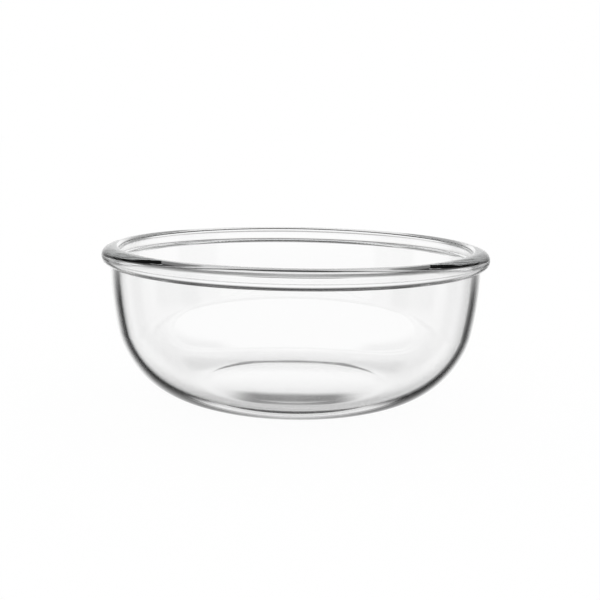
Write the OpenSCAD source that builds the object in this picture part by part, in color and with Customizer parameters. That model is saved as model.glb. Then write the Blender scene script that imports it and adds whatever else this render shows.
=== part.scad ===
// Glass mixing bowl: one press-moulded piece of clear glass, with a rolled rim that
// stands out past the side, a slightly curved side, a deep rounded corner and a flat
// floor on a low foot ring.
// The section is an outline of arcs right of the axis, turned about Z. Neighbouring arcs
// run smoothly into each other, apart from the crease at the neck, under the rim.
// The origin is the centre of the foot, on the surface that the bowl stands on.

/* [Overall] */
// Diameter over the rolled rim
rim_d = 210; // [192:1:230]
// Height from the foot to the top of the rim
height = 83; // [72:0.5:120]

/* [Rim] */
// Radius of the rim's outermost curve
nose_r = 4.2; // [3:0.1:4.8]
// Depth of the rim's widest circle below the top
nose_depth = 5.1; // [4.6:0.1:6]
// Radius of the lip between the rim's top and the inside
lip_r = 1.9; // [1:0.1:2.5]
// Radius of the rim's underside, from the nose in to the neck
under_r = 14.5; // [9:0.5:18]
// Depth of the neck below the top, where the rim's underside meets the side
neck_depth = 10; // [9.5:0.1:12]
// How far the rim stands out past the neck
overhang = 4.65; // [3.5:0.05:6]

/* [Side] */
// Outer radius of the curve of the side, which is upright at the neck
side_r = 180; // [150:5:300]
// Thickness of the side
wall_t = 4.65; // [3.5:0.05:5.5]

/* [Base] */
// Outer diameter of the foot ring that the bowl stands on
foot_d = 92; // [80:1:106]
// Width of the foot ring
foot_w = 3.3; // [2:0.1:12]
// Depth of the shallow dish under the floor, inside the foot ring
recess_h = 0.2; // [0.1:0.1:1.5]
// Radius of the heel, from the foot out to the corner
heel_r = 94; // [70:2:130]
// Outer radius of the corner between the heel and the side
corner_r = 47.7; // [38:0.1:55]
// Inner radius of the corner between the floor and the side
inner_corner_r = 43.5; // [34:0.5:50]
// Thickness of the floor, above the surface that the bowl stands on
floor_t = 4.4; // [3.4:0.1:7]

/* [Hidden] */
glass_colour = [0.86, 0.9, 0.9, 0.45];
turn_facets = 240;
// How far a chord of the section may stray from its arc
chord_error = 0.02;

// Unit vector from one point towards another
function towards(from, to) = (to - from) / norm(to - from);
// Point at distance ra from a and rb from b, on the left on the way from a to b
function meet(a, ra, b, rb) =
    let (
        gap = norm(b - a),
        along = (ra ^ 2 - rb ^ 2 + gap ^ 2) / (2 * gap),
        off = sqrt(ra ^ 2 - along ^ 2),
        ex = towards(a, b)
    )
    a + along * ex + off * [-ex[1], ex[0]];
// Point of a circle at height z, on its outer half
function outer_point(centre, r, z) = [centre[0] + sqrt(r ^ 2 - (z - centre[1]) ^ 2), z];

// Points along the shorter arc from p to q, without q, where the next arc starts
function arc(centre, r, p, q) =
    let (
        start = atan2(p[1] - centre[1], p[0] - centre[0]),
        end = atan2(q[1] - centre[1], q[0] - centre[0]),
        turn = (end - start + 540) % 360 - 180,
        steps = ceil(abs(turn) / (2 * acos(1 - chord_error / r)))
    )
    [for (i = [0 : steps - 1]) let (a = start + turn * i / steps) centre + r * [cos(a), sin(a)]];

// Outer arcs: centres and the points where they run into each other
foot_r = foot_d / 2;
recess_r = foot_r - foot_w;
dish_r = (recess_r ^ 2 + recess_h ^ 2) / (2 * recess_h);
dish = [0, recess_h - dish_r];
rim_r = rim_d / 2;
neck = [rim_r - overhang, height - neck_depth];
nose = [rim_r - nose_r, height - nose_depth];
side = neck - [side_r, 0];
heel = [foot_r, heel_r];
corner = meet(heel, heel_r - corner_r, side, side_r - corner_r);
under = meet(neck, under_r, nose, under_r - nose_r);
heel_end = heel + heel_r * towards(heel, corner);
corner_end = side + side_r * towards(side, corner);
under_end = under + under_r * towards(under, nose);

// Inner arcs: the inside of the side keeps the wall's thickness all the way up
inner_side_r = side_r - wall_t;
inner_corner = outer_point(side, inner_side_r - inner_corner_r, floor_t + inner_corner_r);
inner_corner_end = side + inner_side_r * towards(side, inner_corner);
floor_edge = [inner_corner[0], floor_t];
lip = outer_point(side, inner_side_r + lip_r, height - lip_r);
lip_end = side + inner_side_r * towards(side, lip);

// The crown of the rim: level over the lip, and running into the nose
nose_reach = nose[0] - lip[0];
crown_r = (nose_reach ^ 2 + nose_depth ^ 2 - nose_r ^ 2) / (2 * (nose_depth - nose_r));
crown = [lip[0], height - crown_r];
rim_top = [lip[0], height];
crown_end = crown + crown_r * towards(crown, nose);

// Section through the bowl, up the outside from the foot, over the rim and down the inside
module bowl_section() {
    polygon(concat(
        arc(dish, dish_r, [0, recess_h], [recess_r, 0]),
        [[recess_r, 0]],
        arc(heel, heel_r, [foot_r, 0], heel_end),
        arc(corner, corner_r, heel_end, corner_end),
        arc(side, side_r, corner_end, neck),
        arc(under, under_r, neck, under_end),
        arc(nose, nose_r, under_end, crown_end),
        arc(crown, crown_r, crown_end, rim_top),
        arc(lip, lip_r, rim_top, lip_end),
        arc(side, inner_side_r, lip_end, inner_corner_end),
        arc(inner_corner, inner_corner_r, inner_corner_end, floor_edge),
        [floor_edge, [0, floor_t]]
    ));
}

// The bowl: rim, side, corner, floor and foot ring in one piece
module bowl() {
    color(glass_colour) rotate_extrude($fn = turn_facets) bowl_section();
}

bowl();
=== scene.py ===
import math

import bmesh
import bpy
from mathutils import Matrix, Vector


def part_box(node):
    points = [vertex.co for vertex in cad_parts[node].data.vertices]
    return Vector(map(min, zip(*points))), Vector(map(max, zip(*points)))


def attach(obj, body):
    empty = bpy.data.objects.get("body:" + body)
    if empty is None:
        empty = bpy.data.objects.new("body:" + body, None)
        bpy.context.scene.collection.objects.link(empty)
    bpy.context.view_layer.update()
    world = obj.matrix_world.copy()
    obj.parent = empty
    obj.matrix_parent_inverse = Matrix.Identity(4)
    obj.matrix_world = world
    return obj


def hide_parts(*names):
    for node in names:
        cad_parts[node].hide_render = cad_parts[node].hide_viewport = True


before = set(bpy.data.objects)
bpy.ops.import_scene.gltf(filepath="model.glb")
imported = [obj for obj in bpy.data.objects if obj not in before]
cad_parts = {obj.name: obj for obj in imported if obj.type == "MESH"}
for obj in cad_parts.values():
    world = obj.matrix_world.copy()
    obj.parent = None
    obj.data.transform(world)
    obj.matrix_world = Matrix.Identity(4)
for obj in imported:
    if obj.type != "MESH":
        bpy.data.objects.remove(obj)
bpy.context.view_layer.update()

MM = 0.001
WHITE = (1, 1, 1, 1)

# Section of the bowl, in millimetres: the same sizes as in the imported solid
NOSE_R = 4.2
NOSE_DEPTH = 5.1
LIP_R = 1.9
UNDER_R = 14.5
NECK_DEPTH = 10.0
OVERHANG = 4.65
SIDE_R = 180.0
WALL_T = 4.65
FOOT_D = 92.0
FOOT_W = 3.3
RECESS_H = 0.2
HEEL_R = 94.0
CORNER_R = 47.7
INNER_CORNER_R = 43.5
FLOOR_T = 4.4

# Fineness of the turned mesh, and how often light may bounce on its way through the glass
TURN_STEPS = 256
CHORD_ERROR = 0.002
LIGHT_PATH = 48

# Glass: waves of the mould, patches of duller polish, and the light that it absorbs
GLASS_IOR = 1.5
WAVE_SCALE = 45.0
WAVE_DETAIL = 1.0
WAVE_HEIGHT = 0.012
POLISH_SCALE = 160.0
POLISH_DETAIL = 3.0
POLISH_RANGE = (0.35, 0.75)
POLISH_ROUGH = 0.01
ABSORB_COLOUR = (0.84, 0.85, 0.85, 1)
ABSORB_DENSITY = 5.0

# Camera: where it stands, and how its axis is turned away from the point that it aims at
IMAGE_PX = 600
FOCAL_PX = 1000
SENSOR_MM = 36.0
AIM_Z = 78.0
AIM_DISTANCE = 549.9
AIM_ELEVATION = math.radians(6.98)
AXIS_RIGHT = math.radians(0.27)
AXIS_DOWN = math.radians(2.67)
ROLL_LEFT = math.radians(0.93)

# Floor: its width, and the share of plain white in what the camera sees of it
FLOOR_SIZE = 20000.0
FLOOR_GLOW = 0.96

# Light tent: directions are in degrees, and glows in shares of white. A pair of values is where a soft
# edge starts and where it ends
TENT_R = 4000.0
TENT_COLUMNS = 96
TENT_ROWS = 48

# Panel behind the bowl: white above, and below a grey table with a streak and a small dark painted shadow
# on the table. It is an ellipse at a PANEL_SQUARE of 2 and squarer above that, and its edge and its frame's
# are in shares of its size
PANEL_TURN = -2.0
PANEL_ASIDE = 36.5
PANEL_UP = 50.0
PANEL_DOWN = 39.5
PANEL_MIDDLE = -15.5
PANEL_SQUARE = 2.2
PANEL_EDGE = (0.51, 1.0)
WHITE_ASIDE = (25.0, 30.0)
WHITE_GLOW = 1.0
WHITE_EDGE_GLOW = 0.84
WHITE_FOOT = (-29.0, -17.0)
TABLE_ASIDE = (0.5, 1.0)
TABLE_GLOW = 0.41
TABLE_SIDE_GLOW = 0.25
STREAK_ASIDE = (-1.0, 11.5)
STREAK_GLOW = 0.44
# Painted shadow on the table: a small dark area low in the middle of the panel
TABLE_SHADOW_AT = -20.9
TABLE_SHADOW_HALF = (0.6, 2.1)
TABLE_SHADOW_ASIDE = (3.5, 6.5)
TABLE_SHADOW_GLOW = 0.15

# Frame round the panel: dark below and grey above
FRAME_EDGE = (1.12, 1.32)
FRAME_STEP = (-11.5, -3.0)
FRAME_LOW_GLOW = 0.02
FRAME_HIGH_GLOW = 0.4

# Light sides: a white strip above a dark line, a grey patch, and a low dark band on the camera's side
SIDE_STEP = (-5.0, 5.0)
SIDE_LOW_GLOW = 0.76
SIDE_HIGH_GLOW = 0.65
STRIP_FOOT = (18.0, 19.0)
STRIP_GLOW = 1.0
LINE_AT = 18.0
LINE_HALF = (1.5, 2.5)
LINE_GLOW = 0.0
PATCH_TURN = 105.0
PATCH_ASIDE = (14.0, 19.0)
PATCH_AT = 0.0
PATCH_HALF = (12.0, 17.0)
PATCH_GLOW = 0.25
BAND_ASIDE = (95.5, 97.5)
BAND_AT = -38.0
BAND_HALF = (4.0, 8.0)
BAND_GLOW = 0.0

# Above and below: a dark top over the panel, a light sheet across the foot of the table, a white ceiling,
# and ground that is white near the camera
TOP = (11.5, 27.0)
TOP_ASIDE = (48.5, 71.0)
TOP_GLOW = 0.05
SHEET_AT = -45.0
SHEET_HALF = (4.0, 7.0)
SHEET_ASIDE = (20.0, 30.0)
SHEET_GLOW = 0.9
CEILING = (55.5, 64.5)
CEILING_GLOW = 1.0
GROUND = (-72.5, -64.0)
GROUND_GLOW = 0.6
GROUND_NEAR = (110.0, 140.0)
GROUND_NEAR_GLOW = 1.0

low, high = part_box("bowl")
HEIGHT = (high[2] - low[2]) / MM
RIM_R = (high[0] - low[0]) / (2 * MM)


# Section

def towards(start, end):
    """Unit vector from one point of the section towards another."""
    return (end - start).normalized()


def meet(a, ra, b, rb):
    """Point at distance ra from a and rb from b, on the left on the way from a to b."""
    gap = (b - a).length
    along = (ra ** 2 - rb ** 2 + gap ** 2) / (2 * gap)
    off = math.sqrt(ra ** 2 - along ** 2)
    ex = towards(a, b)
    return a + along * ex + off * Vector((-ex.y, ex.x))


def arc(centre, r, p, q):
    """Points along the shorter arc from p to q, without q, where the next arc starts."""
    start = math.atan2(p.y - centre.y, p.x - centre.x)
    end = math.atan2(q.y - centre.y, q.x - centre.x)
    turn = (end - start + 3 * math.pi) % (2 * math.pi) - math.pi
    steps = math.ceil(abs(turn) / (2 * math.acos(1 - CHORD_ERROR / r)))
    angles = (start + turn * i / steps for i in range(steps))
    return [centre + r * Vector((math.cos(a), math.sin(a))) for a in angles]


def across(centre, r, z):
    """Distance from the axis of the point of a circle at height z, on its outer half."""
    return centre.x + math.sqrt(r ** 2 - (z - centre.y) ** 2)


def bowl_section():
    """Outline from the underside, up the outside, over the rim and down inside, and its sharp points."""
    foot_r = FOOT_D / 2
    recess_r = foot_r - FOOT_W
    neck = Vector((RIM_R - OVERHANG, HEIGHT - NECK_DEPTH))
    nose = Vector((RIM_R - NOSE_R, HEIGHT - NOSE_DEPTH))
    side = Vector((neck.x - SIDE_R, neck.y))
    heel = Vector((foot_r, HEEL_R))
    corner = meet(heel, HEEL_R - CORNER_R, side, SIDE_R - CORNER_R)
    under = meet(neck, UNDER_R, nose, UNDER_R - NOSE_R)
    heel_end = heel + HEEL_R * towards(heel, corner)
    corner_end = side + SIDE_R * towards(side, corner)
    under_end = under + UNDER_R * towards(under, nose)

    inner_r = SIDE_R - WALL_T
    inner_z = FLOOR_T + INNER_CORNER_R
    inner_corner = Vector((across(side, inner_r - INNER_CORNER_R, inner_z), inner_z))
    inner_end = side + inner_r * towards(side, inner_corner)
    floor_edge = Vector((inner_corner.x, FLOOR_T))
    lip_z = HEIGHT - LIP_R
    lip = Vector((across(side, inner_r + LIP_R, lip_z), lip_z))
    lip_end = side + inner_r * towards(side, lip)

    reach = nose.x - lip.x
    crown_r = (reach ** 2 + NOSE_DEPTH ** 2 - NOSE_R ** 2) / (2 * (NOSE_DEPTH - NOSE_R))
    crown = Vector((lip.x, HEIGHT - crown_r))
    rim_top = Vector((lip.x, HEIGHT))
    crown_end = crown + crown_r * towards(crown, nose)

    dish_r = (recess_r ** 2 + RECESS_H ** 2) / (2 * RECESS_H)
    dish = Vector((0, RECESS_H - dish_r))
    foot_edge = Vector((recess_r, 0))
    points = arc(dish, dish_r, Vector((0, RECESS_H)), foot_edge)
    foot_index = len(points)
    points.append(foot_edge)
    points += arc(heel, HEEL_R, Vector((foot_r, 0)), heel_end)
    points += arc(corner, CORNER_R, heel_end, corner_end)
    points += arc(side, SIDE_R, corner_end, neck)
    neck_index = len(points)
    points += arc(under, UNDER_R, neck, under_end)
    points += arc(nose, NOSE_R, under_end, crown_end)
    points += arc(crown, crown_r, crown_end, rim_top)
    points += arc(lip, LIP_R, rim_top, lip_end)
    points += arc(side, inner_r, lip_end, inner_end)
    points += arc(inner_corner, INNER_CORNER_R, inner_end, floor_edge)
    points += [floor_edge, Vector((0, FLOOR_T))]
    return points, {foot_index, neck_index}


def turned_mesh(name, section, sharp):
    """Closed mesh of a section turned about Z, which starts and ends on the axis."""
    mesh = bpy.data.meshes.new(name)
    bm = bmesh.new()
    rings = []
    for point in section[1:-1]:
        ring = []
        for i in range(TURN_STEPS):
            a = 2 * math.pi * i / TURN_STEPS
            x = point.x * MM * math.cos(a)
            y = point.x * MM * math.sin(a)
            ring.append(bm.verts.new((x, y, point.y * MM)))
        rings.append(ring)
    first_pole = bm.verts.new((0, 0, section[0].y * MM))
    last_pole = bm.verts.new((0, 0, section[-1].y * MM))
    for i in range(TURN_STEPS):
        j = (i + 1) % TURN_STEPS
        for lower, upper in zip(rings, rings[1:]):
            bm.faces.new((lower[i], lower[j], upper[j], upper[i]))
        bm.faces.new((first_pole, rings[0][j], rings[0][i]))
        bm.faces.new((last_pole, rings[-1][i], rings[-1][j]))
    for face in bm.faces:
        face.smooth = True
    for k in sharp:
        ring = rings[k - 1]
        for i in range(TURN_STEPS):
            bm.edges.get((ring[i], ring[(i + 1) % TURN_STEPS])).smooth = False
    bm.to_mesh(mesh)
    bm.free()
    return mesh


# Materials

def new_material(name):
    """Empty node material with its output."""
    material = bpy.data.materials.new(name)
    material.use_nodes = True
    material.node_tree.nodes.clear()
    output = material.node_tree.nodes.new("ShaderNodeOutputMaterial")
    return material, material.node_tree, output


def glass_material():
    """Clear pressed glass: faintly wavy from the mould, with an uneven polish and a little absorption."""
    material, tree, output = new_material("clear_glass")
    nodes, links = tree.nodes, tree.links
    coords = nodes.new("ShaderNodeTexCoord")

    # Waves that the mould left
    waves = nodes.new("ShaderNodeTexNoise")
    waves.inputs["Scale"].default_value = WAVE_SCALE
    waves.inputs["Detail"].default_value = WAVE_DETAIL
    links.new(coords.outputs["Object"], waves.inputs["Vector"])
    bump = nodes.new("ShaderNodeBump")
    bump.inputs["Distance"].default_value = WAVE_HEIGHT * MM
    links.new(waves.outputs["Fac"], bump.inputs["Height"])

    # Patches where the fire polish is a little duller
    polish = nodes.new("ShaderNodeTexNoise")
    polish.inputs["Scale"].default_value = POLISH_SCALE
    polish.inputs["Detail"].default_value = POLISH_DETAIL
    links.new(coords.outputs["Object"], polish.inputs["Vector"])
    rough = nodes.new("ShaderNodeMapRange")
    links.new(polish.outputs["Fac"], rough.inputs["Value"])
    rough.inputs["From Min"].default_value = POLISH_RANGE[0]
    rough.inputs["From Max"].default_value = POLISH_RANGE[1]
    rough.inputs["To Max"].default_value = POLISH_ROUGH

    shader = nodes.new("ShaderNodeBsdfPrincipled")
    shader.inputs["Base Color"].default_value = WHITE
    shader.inputs["Transmission Weight"].default_value = 1.0
    shader.inputs["IOR"].default_value = GLASS_IOR
    links.new(rough.outputs["Result"], shader.inputs["Roughness"])
    links.new(bump.outputs["Normal"], shader.inputs["Normal"])
    absorb = nodes.new("ShaderNodeVolumeAbsorption")
    absorb.inputs["Color"].default_value = ABSORB_COLOUR
    absorb.inputs["Density"].default_value = ABSORB_DENSITY
    links.new(shader.outputs["BSDF"], output.inputs["Surface"])
    links.new(absorb.outputs["Volume"], output.inputs["Volume"])
    return material


def floor_material():
    """White floor that glows towards the camera, and keeps a faint shadow of the object."""
    material, tree, output = new_material("floor_white")
    nodes, links = tree.nodes, tree.links
    path = nodes.new("ShaderNodeLightPath")
    share = nodes.new("ShaderNodeMath")
    share.operation = "MULTIPLY"
    links.new(path.outputs["Is Camera Ray"], share.inputs[0])
    share.inputs[1].default_value = FLOOR_GLOW
    diffuse = nodes.new("ShaderNodeBsdfDiffuse")
    diffuse.inputs["Color"].default_value = WHITE
    emission = nodes.new("ShaderNodeEmission")
    mix = nodes.new("ShaderNodeMixShader")
    links.new(share.outputs[0], mix.inputs["Fac"])
    links.new(diffuse.outputs["BSDF"], mix.inputs[1])
    links.new(emission.outputs["Emission"], mix.inputs[2])
    links.new(mix.outputs["Shader"], output.inputs["Surface"])
    return material


# Glow of the light tent

class NodeMaths:
    """Arithmetic on the sockets of a node tree. A plain number may stand for a socket."""

    def __init__(self, tree):
        self.nodes = tree.nodes
        self.links = tree.links

    def calc(self, kind, *values):
        """Result of one Math node."""
        node = self.nodes.new("ShaderNodeMath")
        node.operation = kind
        for socket, value in zip(node.inputs, values):
            if isinstance(value, (int, float)):
                socket.default_value = value
            else:
                self.links.new(value, socket)
        return node.outputs[0]

    def ramp(self, value, start, end, first=0.0, last=1.0):
        """Level that goes smoothly from first to last as the value goes from start to end."""
        node = self.nodes.new("ShaderNodeMapRange")
        node.interpolation_type = "SMOOTHSTEP"
        self.links.new(value, node.inputs["Value"])
        node.inputs["From Min"].default_value = start
        node.inputs["From Max"].default_value = end
        node.inputs["To Min"].default_value = first
        node.inputs["To Max"].default_value = last
        return node.outputs["Result"]

    def off(self, value, middle):
        """Distance of the value from a middle."""
        return self.calc("ABSOLUTE", self.calc("SUBTRACT", value, middle))

    def within(self, value, middle, half):
        """Share that is 1 round the middle, and falls to 0 between the two distances in half."""
        return self.ramp(self.off(value, middle), *half, 1.0, 0.0)

    def both(self, first, last):
        """Share that is 1 where both shares are."""
        return self.calc("MULTIPLY", first, last)

    def blend(self, share, first, last):
        """Level between first, where the share is 0, and last, where it is 1."""
        rest = self.calc("MULTIPLY", self.calc("SUBTRACT", 1.0, share), first)
        return self.calc("ADD", rest, self.calc("MULTIPLY", share, last))


def tent_direction(maths):
    """Direction of a point of the tent from its middle: the turn away from +Y, and the elevation."""
    coords = maths.nodes.new("ShaderNodeTexCoord")
    unit = maths.nodes.new("ShaderNodeVectorMath")
    unit.operation = "NORMALIZE"
    maths.links.new(coords.outputs["Object"], unit.inputs[0])
    parts = maths.nodes.new("ShaderNodeSeparateXYZ")
    maths.links.new(unit.outputs[0], parts.inputs[0])
    turn = maths.calc("DEGREES", maths.calc("ARCTAN2", parts.outputs["X"], parts.outputs["Y"]))
    elevation = maths.calc("DEGREES", maths.calc("ARCSINE", parts.outputs["Z"]))
    return turn, elevation


def panel_reach(maths, aside, elevation):
    """Distance from the middle of the panel, which is 1 at its edge."""
    rise = maths.calc("MAXIMUM", maths.calc("SUBTRACT", elevation, PANEL_MIDDLE), 0.0)
    drop = maths.calc("MAXIMUM", maths.calc("SUBTRACT", PANEL_MIDDLE, elevation), 0.0)
    above = maths.calc("DIVIDE", rise, PANEL_UP)
    below = maths.calc("DIVIDE", drop, PANEL_DOWN)
    upright = maths.calc("ADD", above, below)
    level = maths.calc("DIVIDE", aside, PANEL_ASIDE)
    powers = [maths.calc("POWER", part, PANEL_SQUARE) for part in (level, upright)]
    return maths.calc("POWER", maths.calc("ADD", *powers), 1 / PANEL_SQUARE)


def panel_glow(maths, turned, aside, elevation):
    """White panel, with the grey table, its streak, and a painted shadow on the table in the lower half."""
    table = maths.ramp(aside, *TABLE_ASIDE, TABLE_GLOW, TABLE_SIDE_GLOW)
    table = maths.blend(maths.ramp(turned, *STREAK_ASIDE), STREAK_GLOW, table)
    white = maths.ramp(aside, *WHITE_ASIDE, WHITE_GLOW, WHITE_EDGE_GLOW)
    panel = maths.blend(maths.ramp(elevation, *WHITE_FOOT), table, white)
    # Painted shadow on the table: dark, low in the middle of the panel
    table_shadow = maths.both(
        maths.within(turned, 0.0, TABLE_SHADOW_ASIDE),
        maths.within(elevation, TABLE_SHADOW_AT, TABLE_SHADOW_HALF),
    )
    return maths.blend(table_shadow, panel, TABLE_SHADOW_GLOW)


def side_glow(maths, turned, elevation):
    """Light sides, with the strip, the line, the patch and the band."""
    side = maths.ramp(elevation, *SIDE_STEP, SIDE_LOW_GLOW, SIDE_HIGH_GLOW)
    side = maths.blend(maths.ramp(elevation, *STRIP_FOOT), side, STRIP_GLOW)
    side = maths.blend(maths.within(elevation, LINE_AT, LINE_HALF), side, LINE_GLOW)
    patch = maths.both(
        maths.within(turned, PATCH_TURN, PATCH_ASIDE),
        maths.within(elevation, PATCH_AT, PATCH_HALF),
    )
    side = maths.blend(patch, side, PATCH_GLOW)
    band = maths.both(
        maths.ramp(turned, *BAND_ASIDE),
        maths.within(elevation, BAND_AT, BAND_HALF),
    )
    return maths.blend(band, side, BAND_GLOW)


def tent_glow(maths):
    """Glow by direction: the panel in its frame, the sides, and what lies above and below them."""
    turn, elevation = tent_direction(maths)
    turned = maths.calc("ABSOLUTE", turn)
    aside = maths.off(turn, PANEL_TURN)
    reach = panel_reach(maths, aside, elevation)
    panel = panel_glow(maths, turned, aside, elevation)
    border = maths.ramp(elevation, *FRAME_STEP, FRAME_LOW_GLOW, FRAME_HIGH_GLOW)
    around = maths.blend(maths.ramp(reach, *FRAME_EDGE), border, side_glow(maths, turned, elevation))
    glow = maths.blend(maths.ramp(reach, *PANEL_EDGE), panel, around)

    top = maths.both(
        maths.ramp(turned, *TOP_ASIDE, 1.0, 0.0),
        maths.ramp(elevation, *TOP),
    )
    glow = maths.blend(top, glow, TOP_GLOW)
    sheet = maths.both(
        maths.within(turned, 0.0, SHEET_ASIDE),
        maths.within(elevation, SHEET_AT, SHEET_HALF),
    )
    glow = maths.blend(sheet, glow, SHEET_GLOW)
    glow = maths.blend(maths.ramp(elevation, *CEILING), glow, CEILING_GLOW)
    ground = maths.ramp(turned, *GROUND_NEAR, GROUND_GLOW, GROUND_NEAR_GLOW)
    return maths.blend(maths.ramp(elevation, *GROUND), ground, glow)


def tent_material():
    """Light that the tent gives off, by direction from the bowl."""
    material, tree, output = new_material("light_tent")
    emission = tree.nodes.new("ShaderNodeEmission")
    tree.links.new(tent_glow(NodeMaths(tree)), emission.inputs["Strength"])
    tree.links.new(emission.outputs["Emission"], output.inputs["Surface"])
    return material


# Object and stage

def add_object(name, mesh, material):
    """Object of a mesh in the scene, with one material."""
    mesh.materials.append(material)
    obj = bpy.data.objects.new(name, mesh)
    bpy.context.scene.collection.objects.link(obj)
    return obj


def add_bowl():
    """The glass, in place of its solid."""
    section, sharp = bowl_section()
    bowl = add_object("bowl_glass", turned_mesh("bowl_glass", section, sharp), glass_material())
    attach(bowl, "root")
    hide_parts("bowl")


def add_camera():
    """Camera at the photograph's viewing angle."""
    forward_0 = Vector((0, math.cos(AIM_ELEVATION), -math.sin(AIM_ELEVATION)))
    right_0 = Vector((1, 0, 0))
    up_0 = right_0.cross(forward_0)
    place = Vector((0, 0, AIM_Z * MM)) - AIM_DISTANCE * MM * forward_0
    forward = (
        right_0 * math.sin(AXIS_RIGHT) * math.cos(AXIS_DOWN)
        - up_0 * math.sin(AXIS_DOWN)
        + forward_0 * math.cos(AXIS_RIGHT) * math.cos(AXIS_DOWN)
    )
    level_up = (up_0 - forward * up_0.dot(forward)).normalized()
    level_right = forward.cross(level_up)
    up = level_up * math.cos(ROLL_LEFT) - level_right * math.sin(ROLL_LEFT)
    right = forward.cross(up)

    data = bpy.data.cameras.new("camera")
    data.sensor_fit = "HORIZONTAL"
    data.sensor_width = SENSOR_MM
    data.lens = FOCAL_PX / IMAGE_PX * SENSOR_MM
    camera = bpy.data.objects.new("camera", data)
    bpy.context.scene.collection.objects.link(camera)
    axes = Matrix((right, up, -forward)).transposed().to_4x4()
    camera.matrix_world = Matrix.Translation(place) @ axes
    bpy.context.scene.camera = camera


def add_tent():
    """Light tent round the bowl, which only the glass sees."""
    mesh = bpy.data.meshes.new("light_tent")
    bm = bmesh.new()
    bmesh.ops.create_uvsphere(bm, u_segments=TENT_COLUMNS, v_segments=TENT_ROWS, radius=TENT_R * MM)
    bm.to_mesh(mesh)
    bm.free()
    tent = add_object("light_tent", mesh, tent_material())
    tent.visible_camera = False
    tent.visible_diffuse = False
    tent.visible_shadow = False


def add_floor():
    """Plain white floor. The glass shows the light tent below, and not the floor."""
    mesh = bpy.data.meshes.new("floor")
    bm = bmesh.new()
    bmesh.ops.create_grid(bm, x_segments=1, y_segments=1, size=FLOOR_SIZE * MM / 2)
    bm.to_mesh(mesh)
    bm.free()
    floor = add_object("floor", mesh, floor_material())
    floor.visible_glossy = False
    floor.visible_transmission = False


def set_world():
    """Plain white surroundings."""
    world = bpy.data.worlds.new("surroundings")
    world.use_nodes = True
    background = world.node_tree.nodes["Background"]
    background.inputs["Color"].default_value = WHITE
    background.inputs["Strength"].default_value = 1.0
    bpy.context.scene.world = world


add_camera()
set_world()
add_floor()
add_tent()
add_bowl()
bpy.context.scene.view_settings.view_transform = "Standard"

# Light goes round inside the rim many times before it leaves the glass
bpy.context.scene.cycles.max_bounces = LIGHT_PATH
bpy.context.scene.cycles.glossy_bounces = LIGHT_PATH
bpy.context.scene.cycles.transmission_bounces = LIGHT_PATH
